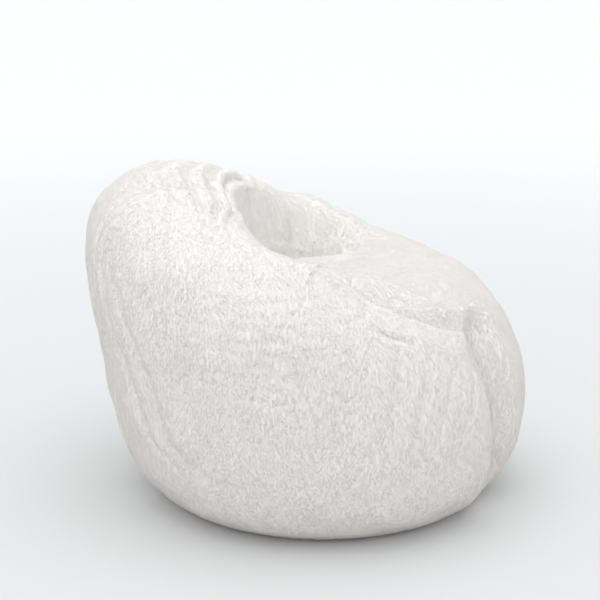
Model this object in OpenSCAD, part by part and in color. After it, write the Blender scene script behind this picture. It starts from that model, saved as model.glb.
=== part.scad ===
// Tub bean bag chair: a pile-fabric cover over a filled inner bag.
// +X is the sitter's left, -Y the front, +Z up; the origin is under the middle, on the floor.
// The outer skin is one closed surface. An angle a runs around it (0 at the front, 180 at the
// back) and a station number t runs along it: from the middle of the base, out to the base seam,
// up the side, over the rolled rim and down into the hollow, to the middle of the seat.
// Every soft piece is a patch or a chamber of that surface at its own depth under it.

/* [Chair] */
// Overall width across the belly of the two arms
chair_w = 900; // [760:5:1090]
// Overall depth from the front bulge to the back
chair_d = 915; // [770:5:1100]
// Height of the crown of the back
back_h = 680; // [600:5:820]
// Height of the arms at mid depth
arm_h = 556; // [525:5:610]
// Height of the seat at its highest, behind the front bulge
seat_h = 486; // [430:2:510]

/* [Base] */
// Width of the flat base, seam to seam
base_w = 650; // [545:5:790]
// Depth of the flat base, seam to seam
base_d = 634; // [530:5:765]

/* [Seat hollow] */
// Width of the hollow at the foot of its walls
hollow_w = 372; // [310:4:450]
// How far the front of the hollow reaches forward of the middle
hollow_front = 165; // [140:5:195]
// How far the back of the hollow reaches behind the middle
hollow_back = 100; // [85:5:120]

/* [Front creases] */
// How deep the two front seams are drawn in
crease_depth = 50; // [30:1:60]
// How deep the seams between the arms and the seat are drawn in
arm_crease_depth = 16; // [8:1:20]

/* [Soft layers] */
// Thickness of the cover: backing cloth and flattened pile
cover_t = 6; // [5:0.5:7.5]
// Gap between the cover and the inner bag
bag_gap = 1; // [0.8:0.1:1.4]
// Thickness of the inner bag's cloth
bag_t = 1; // [0.8:0.1:1.3]

/* [Cover zip] */
// Length of the closed row of teeth
zip_len = 260; // [210:4:280]
// Half width of the opening between the two back panels
zip_slot = 9; // [8:0.5:11]
// Width of each zip tape
tape_w = 15; // [12:0.5:18]
// Thickness of the zip tapes
tape_t = 0.8; // [0.6:0.1:1]
// Spacing of the teeth on one tape
tooth_pitch = 4; // [3.6:0.1:4.8]
// Height of the teeth above the tape
tooth_h = 2; // [1.6:0.1:2.4]
// Width of the slider
slider_w = 11; // [10:0.5:13]
// Length of the slider
slider_len = 16; // [13:0.5:19]
// Radius of the slider's hinge pin
pin_r = 0.8; // [0.7:0.05:1]
// Radial clearance of the pull tab on its pin
pin_clear = 0.05; // [0.03:0.01:0.08]
// Length of the pull tab from its pin to its end
pull_len = 28; // [24:1:34]

/* [Inner bag zip] */
// Length of the closed row of teeth
bag_zip_len = 220; // [180:4:240]

/* [Hidden] */

// Depth of each layer's outer face under the skin
bag_in = cover_t + bag_gap;
tie_in = bag_in + bag_t + 0.3;
fill_in = tie_in + 0.7;
// How much further in the bag lies behind the zip slot
bag_pocket = 10;

// ---- Stations of the skin ----
half_w = chair_w / 2;
front_y = chair_d / 2;
back_y = chair_d / 2;
half_base = base_w / 2;
base_front = base_d / 2 + 30;
base_back = base_d / 2 - 30;
half_hollow = hollow_w / 2;

// a share k of the way from p to q
function mix(p, q, k) = p + (q - p) * k;

// [half width, reach to the front, reach to the back, height at the front, at the side, at the back]
stations = [
  [0, 25, -25, 0, 0, 0],
  [half_base * 0.52, base_front * 0.54, base_back * 0.51, 0, 0, 0],
  [half_base, base_front, base_back, 0, 0, 0],
  [mix(half_base, half_w, 0.57), mix(base_front, front_y, 0.62), mix(base_back, back_y, 0.42),
    seat_h * 0.104, arm_h * 0.095, back_h * 0.09],
  [mix(half_base, half_w, 0.92), front_y - 6, mix(base_back, back_y, 0.7),
    seat_h * 0.333, arm_h * 0.31, back_h * 0.267],
  [half_w, front_y - 1.5, mix(base_back, back_y, 0.865), seat_h * 0.52, arm_h * 0.55, back_h * 0.495],
  [half_w * 0.972, front_y * 0.945, back_y, seat_h * 0.692, arm_h * 0.765, back_h * 0.725],
  [half_w * 0.872, front_y * 0.86, back_y * 0.935, seat_h * 0.833, arm_h * 0.918, back_h * 0.905],
  [half_w * 0.722, front_y * 0.733, back_y * 0.657, seat_h * 0.932, arm_h, back_h],
  [mix(half_hollow, half_w, 0.29), mix(hollow_front, front_y, 0.36), mix(hollow_back, back_y, 0.224),
    seat_h * 0.985, arm_h * 0.962, back_h * 0.969],
  [mix(half_hollow, half_w, 0.12), mix(hollow_front, front_y, 0.155), mix(hollow_back, back_y, 0.095),
    seat_h, seat_h * 0.985, mix(seat_h, back_h, 0.44)],
  [half_hollow, hollow_front, hollow_back, seat_h * 0.99, seat_h * 0.9, seat_h * 0.955],
  [half_hollow * 0.54, hollow_front * 0.76, hollow_back * 0.25,
    seat_h * 0.98, seat_h * 0.96, seat_h * 0.965],
  [0, 65, -65, seat_h * 0.968, seat_h * 0.968, seat_h * 0.968]
];
last_t = len(stations) - 1;

// Named places along the skin
base_seam_t = 2.1;
crease_foot_t = 2.3;
// the zip slot is centred on station 5, and is longer than the zip by its end room
slot_end_room = 28;
back_per_station = back_h / 4.3;
slot_half_t = (zip_len / 2 + slot_end_room) / back_per_station;
slot_low_t = 5 - slot_half_t;
slot_high_t = 5 + slot_half_t;
lean_top_t = 6;
corner_t = 6.75;
rim_seam_t = 8.7;
hollow_t = 11;
divider_foot_t = 1.25;

// Named places around the skin
front_seam_a = 31.5;
front_seam_lean = 1.8;
rim_seam_end_a = 120;
seat_corner_a = 78;
back_baffle_a = 125;
back_seam_a = 158;
// half the width of the front crease, and of the gaps that the baffles stand in
crease_half_w = 52;
front_gap_w = 21;
crease_half_a = atan(crease_half_w / front_y);
front_gap_a = atan(front_gap_w / front_y);
back_gap_a = 0.6;

function station_at(i) =
  i < 0 ? 2 * stations[0] - stations[1] :
  i > last_t ? 2 * stations[last_t] - stations[last_t - 1] : stations[i];

// A smooth curve through four values, at share f between the middle two
function curve(p, q, r, s, f) =
  0.5 * (2 * q + (r - p) * f + (2 * p - 5 * q + 4 * r - s) * f * f
    + (3 * q - 3 * r + s - p) * f * f * f);

function station(t) =
  let (i = min(floor(t), last_t - 1))
  curve(station_at(i - 1), station_at(i), station_at(i + 1), station_at(i + 2), t - i);

function ease(k) = let (c = min(max(k, 0), 1)) c * c * (3 - 2 * c);

// The angle of the front seam at station t: the seam leans forward towards the floor
function front_seam(t) = front_seam_a - front_seam_lean * (lean_top_t - min(max(t, 3), lean_top_t));

// The station of the seam on top of the arm and the back, at angle a from the front
function rim_seam(a) =
  mix(corner_t, rim_seam_t, ease((a - front_seam_a) / (rim_seam_end_a - front_seam_a)));

// How far the skin is drawn in by the seams at angle a and station t
function drawn_in(a, t) =
  let (
    up = ease((t - crease_foot_t) / 1.2) * (1 - ease((t - corner_t + 0.2) / 0.9)),
    front = crease_depth * exp(-pow((a - front_seam(t)) / crease_half_a, 2)) * up,
    along = ease((a - front_seam_a + 4) / 8) * (1 - ease((a - 65) / 30)),
    arm = arm_crease_depth * exp(-pow((t - rim_seam(a)) / 0.42, 2)) * along
  )
  max(front, arm);

heart = [0, -85, 220];

// The point of the skin at angle w (0 to 360) and station t
function skin(w, t) =
  let (
    s = station(t),
    c = cos(w),
    to_front = pow(max(c, 0), 0.75),
    to_back = pow(max(-c, 0), 1.7),
    p = [
      s[0] * sin(w),
      (s[2] - s[1]) / 2 - (s[1] + s[2]) / 2 * c,
      s[4] + (s[3] - s[4]) * to_front + (s[5] - s[4]) * to_back
    ],
    pull = drawn_in(min(w, 360 - w), t),
    q = pull < 0.01 ? p : p - pull * (p - heart) / norm(p - heart)
  )
  [q[0], q[1], max(q[2], 0)];

function unit(v) = v / norm(v);

function outward(w, t) =
  t < 0.01 ? [0, 0, -1] :
  t > last_t - 0.01 ? [0, 0, 1] :
  let (
    around = skin(w + 1, t) - skin(w - 1, t),
    along = skin(w, min(t + 0.04, last_t)) - skin(w, t - 0.04)
  )
  unit(cross(around, along));

// The point at depth d under the skin
function under(w, t, d) = skin(w, t) - d * outward(w, t);

// ---- The grid that every patch is cut from ----
slot_a = asin(zip_slot / (half_w * 0.985));
pocket_a = asin((zip_slot + tape_w) / (half_w * 0.985));
half_angles = [
  0, 9, 17, 24, front_seam_a - front_gap_a, front_seam_a, front_seam_a + front_gap_a, 40, 48, 57, 67,
  seat_corner_a, 91, 103, 114, back_baffle_a - back_gap_a, back_baffle_a, back_baffle_a + back_gap_a,
  136, 147, back_seam_a, 168, 180 - pocket_a - 1, 180 - pocket_a, 180 - slot_a
];
side_count = len(half_angles) - 1;
angles = concat(
  half_angles, [180],
  [for (i = [0 : side_count - 1]) 360 - half_angles[side_count - i]]
);
columns = len(angles);
rows = [
  0, 1, 1.7, base_seam_t, 2.5, 3, 3.5, slot_low_t, 4.5, 5, 5.5, slot_high_t, 6.5, 7, 7.6, 8.2,
  rim_seam_t, 9, 9.5, 10.2, hollow_t, 11.5, 12, last_t
];
row_count = len(rows);
function row_of(t) = search(t, rows)[0];
function column_of(a) = search(a, half_angles)[0];
base_row = row_of(base_seam_t);
slot_low_row = row_of(slot_low_t);
slot_high_row = row_of(slot_high_t);
rim_row = row_of(rim_seam_t);
hollow_row = row_of(hollow_t);
front_column = column_of(front_seam_a);
seat_column = column_of(seat_corner_a);
back_column = column_of(back_seam_a);
slot_column = side_count;

// An angle near the front seam follows its lean, the more so the nearer it is
function lean(a, t) =
  let (
    share = a < front_seam_a ? a / front_seam_a :
      1 - ease((a - front_seam_a) / (seat_corner_a - front_seam_a))
  )
  a + (front_seam(t) - front_seam_a) * share;

// The same from angle w, on either side
function lean_w(w, t) = w < 180 ? lean(w, t) : 360 - lean(360 - w, t);

// The station of a row at angle w: the rows near the rim follow the rim seam
function row_station(w, t) =
  let (
    drop = rim_seam(max(min(w, 360 - w), front_seam_a)) - rim_seam_t,
    share = t <= base_seam_t ? 0 :
      t <= rim_seam_t ? (t - base_seam_t) / (rim_seam_t - base_seam_t) :
      t < hollow_t ? (hollow_t - t) / (hollow_t - rim_seam_t) : 0
  )
  t + drop * share * share;

// The point of the grid at angle w and row station t, at depth d under the skin
function grid_point(w, t, d) = let (s = row_station(w, t)) under(lean_w(w, s), s, d);

// Behind the zip slot the inner layers step back into a pocket
function in_pocket(w, t) = abs(180 - w) < pocket_a + 0.01 && t >= slot_low_t && t <= slot_high_t;

// Cells are named by their lower column and row, and counted from the front on either side
function from_front(i) = min(i, columns - 1 - i);
function is_right(i) = i >= columns / 2;
function in_slot(i, j) = from_front(i) >= slot_column && j >= slot_low_row && j < slot_high_row;

function quad(p, q, r, s) = [[p, q, r], [p, r, s]];
function flip(faces) = [for (f = faces) [f[0], f[2], f[1]]];

// A sheet of the skin between depths d0 and d1, over the cells for which want(i, j) holds
module sheet(want, d0, d1, pocket = 0) {
  layer = columns * row_count;
  points = [
    for (d = [d0, d1]) for (j = [0 : row_count - 1]) for (i = [0 : columns - 1])
      grid_point(angles[i], rows[j], d + (in_pocket(angles[i], rows[j]) ? pocket : 0))
  ];
  // each pole is one point, shared by all its columns
  function id(i, j, side) =
    side * layer + j * columns + (j == 0 || j == row_count - 1 ? 0 : i % columns);
  function has(i, j) = j >= 0 && j < row_count - 1 && want((i + columns) % columns, j);
  function face(i, j, side) =
    let (
      a = id(i, j, side),
      b = id(i + 1, j, side),
      c = id(i + 1, j + 1, side),
      d = id(i, j + 1, side)
    )
    a == b ? [[a, c, d]] : c == d ? [[a, b, c]] : quad(a, b, c, d);
  // a wall from edge p-q of the outer face down to the inner face, split on the same
  // diagonal whichever side it is seen from
  function wall(p, q) = p < q ?
    [[p, q, q + layer], [p, q + layer, p + layer]] :
    [[p, q, p + layer], [q, q + layer, p + layer]];
  function walls(i, j) = concat(
    has(i - 1, j) ? [] : wall(id(i, j + 1, 0), id(i, j, 0)),
    has(i + 1, j) ? [] : wall(id(i + 1, j, 0), id(i + 1, j + 1, 0)),
    j == 0 || has(i, j - 1) ? [] : wall(id(i, j, 0), id(i + 1, j, 0)),
    j == row_count - 2 || has(i, j + 1) ? [] : wall(id(i + 1, j + 1, 0), id(i, j + 1, 0))
  );
  faces = [
    for (j = [0 : row_count - 2]) for (i = [0 : columns - 1]) if (has(i, j)) each concat(
      flip(face(i, j, 0)), face(i, j, 1), walls(i, j)
    )
  ];
  polyhedron(points = points, faces = faces, convexity = 6);
}

function sum_of(loop, n = 0) = n == len(loop) - 1 ? loop[n] : loop[n] + sum_of(loop, n + 1);
function middle(loop) = sum_of(loop) / len(loop);

// A closed solid through a row of loops with the same number of points; each end is a fan
module loft(loops) {
  n = len(loops);
  m = len(loops[0]);
  points = concat([for (loop = loops) each loop], [middle(loops[0]), middle(loops[n - 1])]);
  faces = concat(
    [for (k = [0 : n - 2]) for (p = [0 : m - 1])
      each quad(k * m + p, k * m + (p + 1) % m, (k + 1) * m + (p + 1) % m, (k + 1) * m + p)],
    [for (p = [0 : m - 1]) [n * m, (p + 1) % m, p]],
    [for (p = [0 : m - 1]) [n * m + 1, (n - 1) * m + p, (n - 1) * m + (p + 1) % m]]
  );
  polyhedron(points = points, faces = faces, convexity = 6);
}

// The stations of the grid between two others, with both ends
function stations_between(low, high) =
  concat([low], [for (t = rows) if (t > low + 0.2 && t < high - 0.2) t], [high]);

// The outline of a chamber between skin and divider, at angle w: out along the base from the
// divider's foot, up the side, over the rim and down to the hollow's edge
function chamber_loop(w, d, off_divider) =
  [for (t = stations_between(divider_foot_t + off_divider / 2, hollow_t - off_divider))
    grid_point(w, t, d + (d >= fill_in && in_pocket(w, t) ? fill_pocket : 0))];

// A chamber or a baffle at depth d, over a list of angles
module chamber(list, d, off_divider) {
  loft([for (w = list) chamber_loop(w, d, off_divider)]);
}

// Angles strictly between two others, with both ends
function angles_between(low, high) =
  concat([low], [for (w = angles) if (w > low + 1.5 && w < high - 1.5) w], [high]);

// ---- Cover ----
pile = "whitesmoke";

function side_cell(i, j) =
  from_front(i) >= front_column && from_front(i) < back_column && j >= base_row && j < rim_row;

module side_panel_right() {
  color(pile) sheet(function (i, j) is_right(i) && side_cell(i, j), 0, cover_t);
}

module side_panel_left() {
  color(pile) sheet(function (i, j) !is_right(i) && side_cell(i, j), 0, cover_t);
}

// One piece from the base, over the front bulge and back across the whole seat
module front_seat_panel() {
  color(pile) sheet(
    function (i, j) j >= hollow_row
      || (from_front(i) < front_column && j >= base_row)
      || (from_front(i) < seat_column && j >= rim_row),
    0, cover_t
  );
}

// The lining of the hollow: inside of both arms and of the back
module inner_back_panel() {
  color(pile) sheet(
    function (i, j) from_front(i) >= seat_column && j >= rim_row && j < hollow_row, 0, cover_t
  );
}

function back_cell(i, j) =
  from_front(i) >= back_column && j >= base_row && j < rim_row && !in_slot(i, j);

module back_panel_right() {
  color(pile) sheet(function (i, j) is_right(i) && back_cell(i, j), 0, cover_t);
}

module back_panel_left() {
  color(pile) sheet(function (i, j) !is_right(i) && back_cell(i, j), 0, cover_t);
}

module base_panel() {
  color("silver") sheet(function (i, j) j < base_row, 0, cover_t);
}

// A blank tag sewn into the base seam, lying up against the back
module care_label() {
  label_angles = [193, 197.4];
  label_stations = [2.3, 2.5, 2.7, 2.9];
  lift = 0.3;
  label_t = 0.8;
  color("white") loft([
    for (t = label_stations) [
      under(label_angles[0], t, -lift), under(label_angles[1], t, -lift),
      under(label_angles[1], t, -lift - label_t), under(label_angles[0], t, -lift - label_t)
    ]
  ]);
}

// ---- Zips: both lie on the straight line between the two ends of the slot ----
slot_foot = skin(180, slot_low_t);
slot_head = skin(180, slot_high_t);
slot_len = norm(slot_head - slot_foot);
zip_tilt = atan2(slot_head[1] - slot_foot[1], slot_head[2] - slot_foot[2]);

// In the zip's own frame +Z runs up the teeth and +Y points out of the back
module zip_frame() {
  translate((slot_foot + slot_head) / 2) rotate([-zip_tilt, 0, 0]) children();
}

tape_gap = 0.3;
tape_len = slot_len - 2;
bag_tape_len = bag_zip_len + 30;
// how far the tapes lie behind the cover and behind the bag's pocket
tape_behind = 1.6;
bag_tape_behind = 0.7;
tape_y = -cover_t - tape_behind;
bag_tape_y = -bag_in - bag_t - bag_pocket - bag_tape_behind;
tooth_reach = 2.6;
tooth_overlap = 0.8;
tooth_share = 0.36;

// One tape; side is 1 for +X and -1 for -X, and face is the y of its outer face
module tape(side, face, long, wide) {
  zip_frame() translate([side * (tape_gap + wide) / 2, face - tape_t / 2, 0])
    cube([wide, tape_t, long], center = true);
}

// One tape's teeth: they reach past the middle line, between the other tape's teeth
module teeth(side, face, long) {
  count = floor(long / tooth_pitch);
  low = -count * tooth_pitch / 2 + (side > 0 ? 0.25 : 0.75) * tooth_pitch;
  reach = tooth_reach + tooth_overlap;
  zip_frame() for (k = [0 : count - 1])
    translate([side * (tooth_reach - tooth_overlap) / 2, face + tooth_h / 2, low + k * tooth_pitch])
      cube([reach, tooth_h, tooth_share * tooth_pitch], center = true);
}

// A block over both tapes at the height z, where the teeth end
module stop(face, z) {
  stop_len = 3;
  zip_frame() translate([0, face + tooth_h / 2, z])
    cube([2 * tooth_reach, tooth_h, stop_len], center = true);
}

stop_gap = 2;

// The slider's shell: a roof over the teeth with a rail down each side, narrower at its lower end
slide_clear = 0.4;
roof_t = 1.3;
roof_y = tooth_h + slide_clear;
rail_w = 1.5;

module slider_shell(face, top) {
  half = slider_w / 2;
  waist = half - 1.5;
  shoulder = half - 1;
  zip_frame() translate([0, face, top - slider_len]) difference() {
    translate([0, slide_clear, 0]) rotate([-90, 0, 0]) linear_extrude(roof_y + roof_t - slide_clear)
      polygon([
        [-waist, 0], [waist, 0], [half, -slider_len * 0.4], [half, -slider_len + 1],
        [shoulder, -slider_len], [-shoulder, -slider_len], [-half, -slider_len + 1],
        [-half, -slider_len * 0.4]
      ]);
    translate([-half + rail_w + 0.6, 0, -1]) cube([slider_w - 2 * rail_w - 1.2, roof_y, slider_len + 2]);
  }
}

slider_top = zip_len / 2 - 1;
eye_r = pin_r + pin_clear + 0.9;
pin_y = tape_y + roof_y + roof_t + eye_r + 0.5;
pin_z = slider_top - slider_len / 2;
pull_w = 7;
pull_t = 1.2;
lug_t = 1.2;
lug_gap = 0.35;
eye_w = 3;

// The filling steps back behind the slot too, clear of the bag's tapes, which lie on a
// straight line while the back bows out by slot_bow
fill_clear = 4;
slot_bow = (skin(180, 5) - (slot_foot + slot_head) / 2) * [0, cos(zip_tilt), -sin(zip_tilt)];
fill_pocket = slot_bow - bag_tape_y + tape_t + fill_clear - fill_in;

// ---- The rest of the pieces ----
metal = "silver";
lining = "gainsboro";

module zip_tape_right() { color("white") tape(-1, tape_y, tape_len, tape_w); }
module zip_tape_left() { color("white") tape(1, tape_y, tape_len, tape_w); }
module zip_teeth_right() { color("ivory") teeth(-1, tape_y, zip_len); }
module zip_teeth_left() { color("ivory") teeth(1, tape_y, zip_len); }
module zip_top_stop() { color(metal) stop(tape_y, zip_len / 2 + stop_gap); }
module zip_bottom_stop() { color(metal) stop(tape_y, -zip_len / 2 - stop_gap); }

// Roof and rails, with two lugs that hold the pull tab's pin
module zip_slider() {
  lug_x = eye_w / 2 + lug_gap;
  lug_foot = tape_y + roof_y + roof_t - 0.3;
  color(metal) union() {
    slider_shell(tape_y, slider_top);
    zip_frame() {
      for (side = [-1, 1]) {
        translate([side * (lug_x + lug_t / 2), (lug_foot + pin_y) / 2, pin_z])
          cube([lug_t, pin_y - lug_foot, 2 * pin_r + 1.6], center = true);
        translate([side * (lug_x + lug_t / 2) - lug_t / 2, pin_y, pin_z])
          rotate([0, 90, 0]) cylinder(r = pin_r + 0.8, h = lug_t, $fn = 32);
      }
      translate([-lug_x - lug_t / 2, pin_y, pin_z])
        rotate([0, 90, 0]) cylinder(r = pin_r, h = 2 * lug_x + lug_t, $fn = 32);
    }
  }
}

// An eye round the pin and a flat tab with a round end and a hole in it
module zip_pull() {
  tip_z = pin_z - pull_len + pull_w / 2;
  color(metal) zip_frame() difference() {
    union() {
      translate([-eye_w / 2, pin_y, pin_z]) rotate([0, 90, 0]) cylinder(r = eye_r, h = eye_w, $fn = 32);
      translate([-eye_w / 2, pin_y - pull_t / 2, tip_z]) cube([eye_w, pull_t, pin_z - tip_z]);
      translate([-pull_w / 2, pin_y - pull_t / 2, tip_z]) cube([pull_w, pull_t, pull_len - 14]);
      translate([0, pin_y + pull_t / 2, tip_z]) rotate([90, 0, 0])
        cylinder(d = pull_w, h = pull_t, $fn = 48);
    }
    translate([-eye_w, pin_y, pin_z]) rotate([0, 90, 0])
      cylinder(r = pin_r + pin_clear, h = 2 * eye_w, $fn = 32);
    translate([0, pin_y + pull_t, tip_z]) rotate([90, 0, 0])
      cylinder(d = pull_w / 2, h = 2 * pull_t, $fn = 32);
  }
}

// ---- Inner bag: one closed skin with a slot for its own zip, and the walls that hold its shape ----
module inner_bag() {
  color(lining) sheet(function (i, j) !in_slot(i, j), bag_in, bag_in + bag_t, bag_pocket);
}

module bag_zip_tapes() {
  color("white") for (side = [-1, 1]) tape(side, bag_tape_y, bag_tape_len, tape_w - 2);
}
module bag_zip_teeth() { color("ivory") for (side = [-1, 1]) teeth(side, bag_tape_y, bag_zip_len); }
module bag_zip_slider() { color(metal) slider_shell(bag_tape_y, bag_zip_len / 2 - 1); }

// Half the thickness of the divider and of the baffles, in stations and in degrees
divider_half_t = 0.012;
baffle_half_a = 0.15;
chamber_gap_t = 0.06;

// The wall that ties the edge of the seat down to the base, round the back and sides
module seat_divider() {
  foot = divider_foot_t;
  color(lining) loft([
    for (w = angles_between(front_seam_a + 0.8, 360 - front_seam_a - 0.8)) [
      grid_point(w, foot + divider_half_t / 2, tie_in),
      grid_point(w, hollow_t - divider_half_t, tie_in),
      grid_point(w, hollow_t + divider_half_t, tie_in),
      grid_point(w, foot - divider_half_t / 2, tie_in)
    ]
  ]);
}

// A baffle stands across the bag from the divider out to the side, at angle w
module baffle(w) {
  color(lining) chamber([w - baffle_half_a, w + baffle_half_a], tie_in, chamber_gap_t);
}
module front_baffle_right() { baffle(360 - front_seam_a); }
module front_baffle_left() { baffle(front_seam_a); }
module back_baffle_right() { baffle(360 - back_baffle_a); }
module back_baffle_left() { baffle(back_baffle_a); }

// ---- Filling: beads, each chamber as one solid ----
beads = "white";
arm_front_a = front_seam_a + front_gap_a;
arm_back_a = back_baffle_a - back_gap_a;

module arm_fill_left() {
  color(beads) chamber(angles_between(arm_front_a, arm_back_a), fill_in, chamber_gap_t + 0.04);
}
module arm_fill_right() {
  color(beads) chamber(angles_between(360 - arm_back_a, 360 - arm_front_a), fill_in, chamber_gap_t + 0.04);
}
module back_fill() {
  color(beads) chamber(
    angles_between(back_baffle_a + back_gap_a, 360 - back_baffle_a - back_gap_a),
    fill_in, chamber_gap_t + 0.04
  );
}

// The chamber under the seat and behind the front: out to the skin between the two front
// baffles, and out to the divider everywhere else
module seat_fill() {
  foot = divider_foot_t - chamber_gap_t / 2;
  edge = hollow_t + chamber_gap_t;
  open_a = front_seam_a - front_gap_a;
  turn = 0.2;
  list = concat(
    [for (w = angles) if (w < open_a - 0.1) w], [open_a, open_a + turn],
    [for (w = angles) if (w > open_a + 4 && w < 356 - open_a) w], [360 - open_a - turn, 360 - open_a],
    [for (w = angles) if (w > 360.1 - open_a) w]
  );
  steps = concat([1], stations_between(foot, edge), [11.5, 12]);
  function is_open(w) = min(w, 360 - w) < open_a + turn / 2;
  function place(w, t) =
    is_open(w) || t <= foot || t >= edge ? grid_point(w, t, fill_in) :
    mix(grid_point(w, foot, fill_in), grid_point(w, edge, fill_in), (t - foot) / (edge - foot));
  n = len(list);
  m = len(steps);
  points = concat(
    [for (t = steps) for (w = list) place(w, t)],
    [under(0, 0, fill_in), under(0, last_t, fill_in)]
  );
  faces = concat(
    [for (k = [0 : m - 2]) for (p = [0 : n - 1])
      each flip(quad(k * n + p, k * n + (p + 1) % n, (k + 1) * n + (p + 1) % n, (k + 1) * n + p))],
    [for (p = [0 : n - 1]) [n * m, p, (p + 1) % n]],
    [for (p = [0 : n - 1]) [n * m + 1, (m - 1) * n + (p + 1) % n, (m - 1) * n + p]]
  );
  color(beads) polyhedron(points = points, faces = faces, convexity = 6);
}

side_panel_right();
side_panel_left();
front_seat_panel();
inner_back_panel();
back_panel_right();
back_panel_left();
base_panel();
care_label();
zip_tape_right();
zip_tape_left();
zip_teeth_right();
zip_teeth_left();
zip_top_stop();
zip_bottom_stop();
zip_slider();
zip_pull();
inner_bag();
seat_divider();
front_baffle_right();
front_baffle_left();
back_baffle_right();
back_baffle_left();
bag_zip_tapes();
bag_zip_teeth();
bag_zip_slider();
seat_fill();
arm_fill_right();
arm_fill_left();
back_fill();
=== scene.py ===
import bpy
import numpy as np
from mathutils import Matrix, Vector


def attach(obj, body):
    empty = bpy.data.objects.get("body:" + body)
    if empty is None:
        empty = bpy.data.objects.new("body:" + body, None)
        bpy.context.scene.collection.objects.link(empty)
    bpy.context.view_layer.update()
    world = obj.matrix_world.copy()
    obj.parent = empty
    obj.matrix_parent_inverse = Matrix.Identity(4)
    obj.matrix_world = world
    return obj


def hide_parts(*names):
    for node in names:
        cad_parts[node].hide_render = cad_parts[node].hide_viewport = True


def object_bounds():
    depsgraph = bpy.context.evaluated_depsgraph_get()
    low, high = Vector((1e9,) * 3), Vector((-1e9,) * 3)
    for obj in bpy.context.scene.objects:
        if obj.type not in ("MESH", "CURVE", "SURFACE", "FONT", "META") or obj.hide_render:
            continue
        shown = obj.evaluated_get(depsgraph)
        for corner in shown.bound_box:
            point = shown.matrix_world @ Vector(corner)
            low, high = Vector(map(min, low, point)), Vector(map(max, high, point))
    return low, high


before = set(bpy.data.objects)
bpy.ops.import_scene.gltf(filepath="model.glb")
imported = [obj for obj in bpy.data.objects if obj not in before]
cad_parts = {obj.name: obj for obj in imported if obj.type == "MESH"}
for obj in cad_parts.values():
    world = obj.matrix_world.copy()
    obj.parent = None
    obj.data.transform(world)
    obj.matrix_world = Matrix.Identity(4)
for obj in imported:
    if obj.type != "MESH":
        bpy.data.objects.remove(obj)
cad_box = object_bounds()

# ---- Studio ----
# The chair stands on a pale seamless floor under a broad soft lamp, in a room of even white
# light. The camera looks across the right arm from chair height.


class Link:
    """One output of a shader node; arithmetic on it adds the Math nodes that work the value out."""

    def __init__(self, tree, socket):
        self.tree = tree
        self.socket = socket

    def node(self, kind, settings=None, inputs=None, output=0):
        """A new node of any type: its settings are set first, then its sockets' values or links."""
        new = self.tree.nodes.new(kind)
        for name, value in (settings or {}).items():
            if name == "stops":
                for stop, (spot, colour) in zip(new.color_ramp.elements, value):
                    stop.position, stop.color = spot, colour
            else:
                setattr(new, name, value)
        for name, value in (inputs or {}).items():
            if isinstance(value, Link):
                self.tree.links.new(value.socket, new.inputs[name])
            else:
                new.inputs[name].default_value = value
        return Link(self.tree, new.outputs[output])

    def maths(self, operation, first, second):
        """A Math node on two values or links, in that order."""
        return self.node("ShaderNodeMath", {"operation": operation}, {0: first, 1: second})

    def __add__(self, other):
        return self.maths("ADD", self, other)

    def __sub__(self, other):
        return self.maths("SUBTRACT", self, other)

    def __rsub__(self, other):
        return self.maths("SUBTRACT", other, self)

    def __mul__(self, other):
        return self.maths("MULTIPLY", self, other)

    __radd__ = __add__
    __rmul__ = __mul__


class Finish:
    """A Principled material whose constant sockets are set directly and whose patterns start from
    Object coordinates."""

    def __init__(self, name, colour, **constants):
        self.material = bpy.data.materials.new(name)
        self.material.use_nodes = True
        tree = self.material.node_tree
        self.shader = tree.nodes["Principled BSDF"]
        self.shader.inputs["Base Color"].default_value = (*colour, 1)
        for socket, value in constants.items():
            self.shader.inputs[socket.replace("_", " ")].default_value = value
        self.colour = colour
        self.at = Link(tree, tree.nodes.new("ShaderNodeTexCoord").outputs["Object"])

    def feed(self, socket, link):
        """Lets what changes over the surface drive one of the shader's sockets."""
        link.tree.links.new(link.socket, self.shader.inputs[socket])

    def bump(self, height, strength, distance):
        """Raises the surface by distance times height, as light sees it."""
        self.feed("Normal", height.node("ShaderNodeBump", None, {
            "Height": height, "Strength": strength, "Distance": distance}))

    def shade(self, share, low, high):
        """Base colour from low to high times the material's colour, as share goes from 0 to 1."""
        dark, light = [(*[level * c for c in self.colour], 1) for level in (low, high)]
        stops = [(0, dark), (1, light)]
        self.feed("Base Color", share.node("ShaderNodeValToRGB", {"stops": stops}, {"Fac": share}))

    def noise(self, scale, detail=2, stretch=None):
        """Fractal noise from 0 to 1, stretch times longer along each axis."""
        place = self.at
        if stretch:
            place = place.node("ShaderNodeMapping", None, {
                "Vector": place, "Scale": [1 / s for s in stretch]})
        return place.node("ShaderNodeTexNoise", None, {
            "Vector": place, "Scale": scale, "Detail": detail})


def new_piece(name, points, faces, finish):
    """A smooth mesh object from an array of points and a list of index arrays, one per size of face."""
    mesh = bpy.data.meshes.new(name)
    sizes = np.concatenate([np.full(len(f), f.shape[1]) for f in faces])
    corners = np.concatenate([f.ravel() for f in faces])
    mesh.vertices.add(len(points))
    mesh.vertices.foreach_set("co", np.asarray(points, np.float32).ravel())
    mesh.loops.add(len(corners))
    mesh.loops.foreach_set("vertex_index", corners.astype(np.int32))
    mesh.polygons.add(len(sizes))
    starts = np.concatenate([[0], np.cumsum(sizes)[:-1]])
    mesh.polygons.foreach_set("loop_start", starts.astype(np.int32))
    mesh.update(calc_edges=True)
    mesh.shade_smooth()
    piece = bpy.data.objects.new(name, mesh)
    bpy.context.scene.collection.objects.link(piece)
    mesh.materials.append(finish.material)
    return piece


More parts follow.
